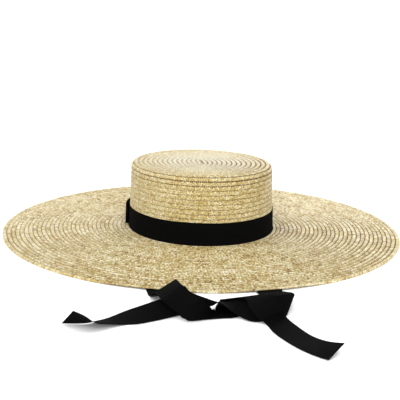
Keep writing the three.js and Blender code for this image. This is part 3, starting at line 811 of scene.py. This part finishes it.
def straw_material(name, seam_shades, tones, bleach_and_sheen):
    """Plaited straw. The row lines are painted shade under the edge of each lap: the first dict gives
    their depth and width, on the tip and elsewhere, and how their depth changes round the hat, from the
    side that the compass direction names, which the key light leaves most in shade, to the far side.
    tones: the middle tone, how many coloured plaits go on one of the relief, and how far the strands,
    the plaits, the dark dashes and the long streaks move away from the middle. The last value gives how
    pale
    the tip is: partly the straw's paler tone, partly a painted sheen of light on the tip."""
    n = Nodes(name)
    u, v = n.uv()
    u = n.math("MULTIPLY", u, tones["grain"])
    a, b = n.math("ADD", u, v), n.math("SUBTRACT", u, v)
    ia, ib = n.math("FLOOR", a), n.math("FLOOR", b)
    fa, fb = n.math("FRACT", a), n.math("FRACT", b)
    over = n.math("FLOORED_MODULO", n.math("ADD", ia, ib), 2.0)
    under = n.math("SUBTRACT", 1.0, over)
    run = n.math("ADD", n.math("MULTIPLY", over, fa), n.math("MULTIPLY", under, fb))
    across = n.math("ADD", n.math("MULTIPLY", over, fb), n.math("MULTIPLY", under, fa))
    strand = n.math("ADD", n.math("MULTIPLY", over, ib), n.math("MULTIPLY", under, ia))
    row = n.math("FLOOR", n.math("DIVIDE", v, float(PLAITS_PER_ROW)))
    arch = n.math("SINE", n.math("MULTIPLY", run, math.pi))
    off = n.math("ABSOLUTE", n.math("MULTIPLY_ADD", across, 2.0, -1.0))
    flat = n.math("SUBTRACT", 1.0, n.math("POWER", off, PLAIT_FLATNESS))
    cell = n.math("MULTIPLY", n.math("POWER", arch, PLAIT_ROUNDNESS), flat)

    strand_tone = n.white(n.combine(strand, row, over))
    cell_tone = n.white(n.combine(ia, ib, CELL_SEED))
    dash_start = n.math("MULTIPLY", row, DASH_STAGGER)
    dash = n.math("FLOOR", n.math("MULTIPLY_ADD", u, DASHES_PER_PLAIT, dash_start))
    dash_tone = n.white(n.combine(dash, row, DASH_SEED))
    fibre_place = n.combine(n.math("MULTIPLY", across, FIBRES_PER_STRAND), run, strand)
    fibre = n.noise(fibre_place, 1.0, FIBRE_DETAIL, FIBRE_ROUGHNESS)
    patch = n.noise(n.place(), PATCH_SCALE, PATCH_DETAIL, PATCH_ROUGHNESS)
    tone = n.math("ADD", tones["middle"], n.about_zero(strand_tone, tones["strand"]))
    tone = n.math("ADD", tone, n.about_zero(cell_tone, tones["cell"]))
    dark_dash = n.remap(dash_tone, DASH_SHARE, 1.0, 0.0, -tones["dash"])
    tone = n.math("ADD", tone, dark_dash)
    streak_start = n.math("MULTIPLY", row, STREAK_STAGGER)
    streak = n.math("FLOOR", n.math("MULTIPLY_ADD", u, STREAKS_PER_PLAIT, streak_start))
    streak_tone = n.white(n.combine(streak, row, STREAK_SEED))
    tone = n.math("ADD", tone, n.about_zero(streak_tone, tones["streak"]))
    tone = n.math("ADD", tone, n.about_zero(fibre, FIBRE_TONE))
    tone = n.math("ADD", tone, n.about_zero(patch, PATCH_TONE))
    colour = n.ramp(tone, STRAW_TONES)
    # Paler tip rows: partly the straw's paler tone, partly a painted sheen of light on the tip
    pale = n.remap(row, *BLEACH_AND_SHEEN_ROWS, bleach_and_sheen, 0.0)
    colour = n.tint(pale, colour, BLEACH_AND_SHEEN_COLOUR)
    # Painted shade in the low dips of the weave, where one strand passes under the next
    gap_shade = n.remap(cell, *GAP_SHADE_HEIGHTS, GAP_SHADE_DEPTH, 0.0)
    colour = n.tint(gap_shade, colour, GAP_SHADE_COLOUR)

    # Painted shade along the row lines, under the edge of each lap, deeper on the side of the hat that
    # the key light leaves in shade
    share = n.math("FRACT", n.math("DIVIDE", v, float(PLAITS_PER_ROW)))
    ragged = n.math("MULTIPLY_ADD", cell_tone, SEAM_RAGGEDNESS, share)
    depth = n.remap(row, *TIP_SEAM_ROWS, seam_shades["tip_depth"], seam_shades["depth"])
    width = n.remap(row, *TIP_SEAM_ROWS, seam_shades["tip_width"], seam_shades["width"])
    away = n.math("SMOOTH_MIN", n.math("DIVIDE", ragged, width), 1.0, SEAM_SOFTNESS)
    line = n.remap(n.math("SUBTRACT", 1.0, away), 0.0, SEAM_FULL_FROM, 0.0, 1.0)
    dots = n.math("COSINE", n.math("MULTIPLY", u, 2.0 * math.pi))
    dots = n.math("MULTIPLY_ADD", dots, seam_shades["dots"] / 2.0, 1.0 - seam_shades["dots"] / 2.0)
    seam_shade = n.math("MULTIPLY", n.math("MULTIPLY", line, depth), dots)
    # The painted shade is deeper on the named side, where the laps face away from the key light, and
    # lighter on the far side
    turn = n.direction(seam_shades["side"])
    seam_shade = n.math("MULTIPLY", seam_shade, n.remap(turn, -1.0, 1.0, seam_shades["far"], seam_shades["near"]))
    colour = n.tint(seam_shade, colour, SEAM_SHADE_COLOUR)
    n.feed(n.shader.inputs["Base Color"], colour)
    roughness = n.remap(cell_tone, 0.0, 1.0, *STRAW_ROUGHNESS)
    n.feed(n.shader.inputs["Roughness"], n.math("MULTIPLY_ADD", seam_shade, SEAM_MATTNESS, roughness))
    n.shader.inputs["Specular IOR Level"].default_value = STRAW_SPECULAR
    n.shader.inputs["Sheen Weight"].default_value = STRAW_SHEEN
    n.shader.inputs["Sheen Roughness"].default_value = STRAW_SHEEN_ROUGHNESS
    height = n.math("ADD", cell, n.math("MULTIPLY", fibre, FIBRE_RELIEF))
    n.feed(n.shader.inputs["Normal"], n.bump(height, STRAW_BUMP))
    return n.material


def ribbon_material():
    n = Nodes("grosgrain_ribbon")
    u, v = n.uv()
    rib = n.math("COSINE", n.math("MULTIPLY", u, 2.0 * math.pi / RIB_PITCH))
    weft = n.math("COSINE", n.math("MULTIPLY", v, 2.0 * math.pi / WEFT_PITCH))
    lint = n.noise(n.place(), LINT_SCALE, roughness=LINT_ROUGHNESS)
    cloud = n.noise(n.place(), CLOUD_SCALE)
    tone = n.math("MULTIPLY_ADD", lint, LINT_SHARE, n.math("MULTIPLY", cloud, CLOUD_SHARE))
    n.feed(n.shader.inputs["Base Color"], n.ramp(tone, RIBBON_TONES))
    n.feed(n.shader.inputs["Roughness"], n.remap(cloud, *CLOUD_SPAN, *RIBBON_ROUGHNESS))
    n.shader.inputs["Specular IOR Level"].default_value = RIBBON_SPECULAR
    height = n.math("MULTIPLY_ADD", rib, RIB_RELIEF, n.math("MULTIPLY", weft, WEFT_RELIEF))
    n.feed(n.shader.inputs["Normal"], n.bump(height, RIBBON_BUMP, RIBBON_BUMP_STRENGTH))
    return n.material


def floor_material():
    n = Nodes("pale_floor")
    tone = n.noise(n.place(), FLOOR_CLOUD_SCALE)
    n.feed(n.shader.inputs["Base Color"], n.ramp(tone, FLOOR_TONES))
    n.shader.inputs["Roughness"].default_value = FLOOR_ROUGHNESS
    n.shader.inputs["Specular IOR Level"].default_value = FLOOR_SPECULAR
    return n.material


# The hat

# Painted shade in the row lines: depth and width on the tip and elsewhere, dots, and its strength on
# the far side and on the near side, named in degrees, which the key light leaves in shade
CROWN_SEAM_SHADES = {
    "tip_depth": 1.0, "tip_width": 0.4,
    "depth": 0.45, "width": 0.28,
    "dots": 0.8, "far": 0.85, "near": 2.5, "side": -28.0,
}
BRIM_SEAM_SHADES = {
    "tip_depth": 1.0, "tip_width": 0.34,
    "depth": 1.0, "width": 0.34,
    "dots": 0.6, "far": 0.75, "near": 2.6, "side": -44.0,
}
CROWN_TONES = {
    "middle": 0.62, "grain": 1.6,
    "strand": 0.3, "cell": 0.7, "dash": 0.1, "streak": 0.06,
}
BRIM_TONES = {
    "middle": 0.71, "grain": 1.4,
    "strand": 0.3, "cell": 0.7, "dash": 0.45, "streak": 0.26,
}
# How pale the tip's middle is: partly paler straw, partly a painted sheen
CROWN_BLEACH_AND_SHEEN = 0.5
BRIM_BLEACH_AND_SHEEN = 0.0
CROWN_STRAW = straw_material("crown_straw", CROWN_SEAM_SHADES, CROWN_TONES, CROWN_BLEACH_AND_SHEEN)
BRIM_STRAW = straw_material("brim_straw", BRIM_SEAM_SHADES, BRIM_TONES, BRIM_BLEACH_AND_SHEEN)
RIBBON = ribbon_material()


def add_piece(name, grids, material, slot, *nodes):
    piece = mesh_object(name, grids, material)
    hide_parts(*nodes)
    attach(piece, "root")
    return piece


tip_bounds = np.linspace(0.0, TIP_ROWS_END, TIP_ROWS + 1)
crown_end = (
    CROWN_HALF_WIDTH - CROWN_TAPER - TIP_CORNER_RADIUS
    + TIP_CORNER_RADIUS * math.pi / 2
    + CROWN_HEIGHT - TIP_CORNER_RADIUS - BRIM_UNDERSIDE_AT_CROWN
)
side_bounds = np.linspace(TIP_ROWS_END, crown_end, SIDE_ROWS + 1)
crown_bounds = np.concatenate([tip_bounds, side_bounds[1:]])
brim_bounds = np.linspace(0.0, BRIM_WIDTH - BRIM_ROWS_INSET, BRIM_ROWS + 1)
fine_step = PLAIT_PERIOD / SAMPLES_PER_PERIOD
all_crown_rows = range(-1, len(crown_bounds) - 1)

crown_rows = braid_rows(
    crown_surface, crown_bounds, all_crown_rows, crown_outset, fine_step, CROWN_PHASES,
    flat_from=TIP_ROWS + 1,
)
add_piece("crown_braid", crown_rows, CROWN_STRAW, "straw", "crown")


def crown_inner_surface(along, angle, lift):
    return crown_surface(along, angle, -lift - INSIDE_SINK, STRAW_THICKNESS)


inner_rows = braid_rows(
    crown_inner_surface, crown_bounds, all_crown_rows, crown_outset,
    PLAIT_PERIOD, INSIDE_PHASES, inside=True,
)
add_piece("crown_inside", [*inner_rows, foot_turn()], CROWN_STRAW, "straw", "crown")

# Columns: name, first row, row after the last
BRIM_PARTS = [
    ("brim_braid_inner", -1, 12),
    ("brim_braid_middle", 12, 22),
    ("brim_braid_outer", 22, BRIM_ROWS),
]
for part_name, first, last in BRIM_PARTS:
    part_rows = braid_rows(
        brim_top_surface, brim_bounds, range(first, last), float, fine_step, BRIM_PHASES
    )
    if last == BRIM_ROWS:
        part_rows.append(edge_roll(fine_step))
    add_piece(part_name, part_rows, BRIM_STRAW, "straw", "brim")

under_rows = braid_rows(
    brim_under_surface, brim_bounds, range(-1, BRIM_ROWS), float,
    PLAIT_PERIOD, UNDERSIDE_PHASES, inside=True,
)
add_piece("brim_underside", under_rows, BRIM_STRAW, "straw", "brim")

band_shape, band_length = band_grid()
band = add_piece("band_ribbon", [band_shape], RIBBON, "ribbon", "hat_band")
lap_shape, lap_length = lap_grid()
lap = add_piece("band_lap_ribbon", [lap_shape], RIBBON, "ribbon", "band_lap")

for tie_name, node, stations in (
    ("tie_left_ribbon", "tie_left", TIE_LEFT_STATIONS),
    ("tie_right_ribbon", "tie_right", TIE_RIGHT_STATIONS),
):
    tie_shape, tie_length = tie_grid(stations)
    tie = add_piece(tie_name, [tie_shape], RIBBON, "ribbon", node)
    print(tie_name, "length", round(float(tie_length), 1), "mm")

# Floor, light and camera

FLOOR_RADIUS = 12.0
FLOOR_SIDES = 96
FLOOR_DROP = 0.0002
floor_mesh = bpy.data.meshes.new("floor")
floor_rim = [
    (FLOOR_RADIUS * math.cos(t), FLOOR_RADIUS * math.sin(t), -FLOOR_DROP)
    for t in np.linspace(0.0, 2.0 * math.pi, FLOOR_SIDES, endpoint=False)
]
floor_mesh.from_pydata(floor_rim, [], [tuple(range(FLOOR_SIDES))])
floor_mesh.materials.append(floor_material())
floor = bpy.data.objects.new("floor", floor_mesh)
bpy.context.scene.collection.objects.link(floor)

# Soft room light: bright round the horizon, dimmer overhead
HORIZON_LIGHT = 1.2
OVERHEAD_LIGHT = 0.54
HORIZON_TOP = 0.08
OVERHEAD_FROM = 0.4
world = bpy.data.worlds.new("studio")
world.use_nodes = True
sky = world.node_tree
direction = sky.nodes.new("ShaderNodeTexCoord")
split = sky.nodes.new("ShaderNodeSeparateXYZ")
fade = sky.nodes.new("ShaderNodeMapRange")
fade.inputs["From Min"].default_value = HORIZON_TOP
fade.inputs["From Max"].default_value = OVERHEAD_FROM
fade.inputs["To Min"].default_value = HORIZON_LIGHT
fade.inputs["To Max"].default_value = OVERHEAD_LIGHT
sky.links.new(direction.outputs["Generated"], split.inputs[0])
sky.links.new(split.outputs["Z"], fade.inputs["Value"])
sky.links.new(fade.outputs["Result"], sky.nodes["Background"].inputs["Strength"])
sky.nodes["Background"].inputs["Color"].default_value = (1.0, 1.0, 1.0, 1.0)
bpy.context.scene.world = world


def soft_sun(name, towards, spread, strength):
    """Far light that shines along the given direction; spread in degrees softens its shadows."""
    light = bpy.data.lights.new(name, "SUN")
    light.energy = strength
    light.angle = math.radians(spread)
    made = bpy.data.objects.new(name, light)
    made.rotation_mode = "QUATERNION"
    made.rotation_quaternion = Vector(towards).to_track_quat("-Z", "Y")
    bpy.context.scene.collection.objects.link(made)


# Columns: name, direction that the light travels, spread in degrees, strength
SUNS = [
    ("key", (0.35, -0.6, -1.5), 110.0, 2.6),
    ("back_sheen", (-0.45, -0.9, -0.3), 40.0, 0.85),
    ("front_fill", (0.03, 0.9, -0.25), 70.0, 2.9),
]
for sun in SUNS:
    soft_sun(*sun)

camera_data = bpy.data.cameras.new("camera")
camera_data.sensor_width = SENSOR_WIDTH
camera_data.lens = CAMERA_LENS
camera_data.clip_start = CAMERA_NEAR
camera_data.clip_end = CAMERA_FAR
camera = bpy.data.objects.new("camera", camera_data)
right, up = Vector(CAMERA_RIGHT), Vector(CAMERA_UP)
back = right.cross(up).normalized()
camera.matrix_world = Matrix.Translation(CAMERA_PLACE) @ Matrix((right, up, back)).transposed().to_4x4()
bpy.context.scene.collection.objects.link(camera)
bpy.context.scene.camera = camera
bpy.context.scene.view_settings.view_transform = "Standard"
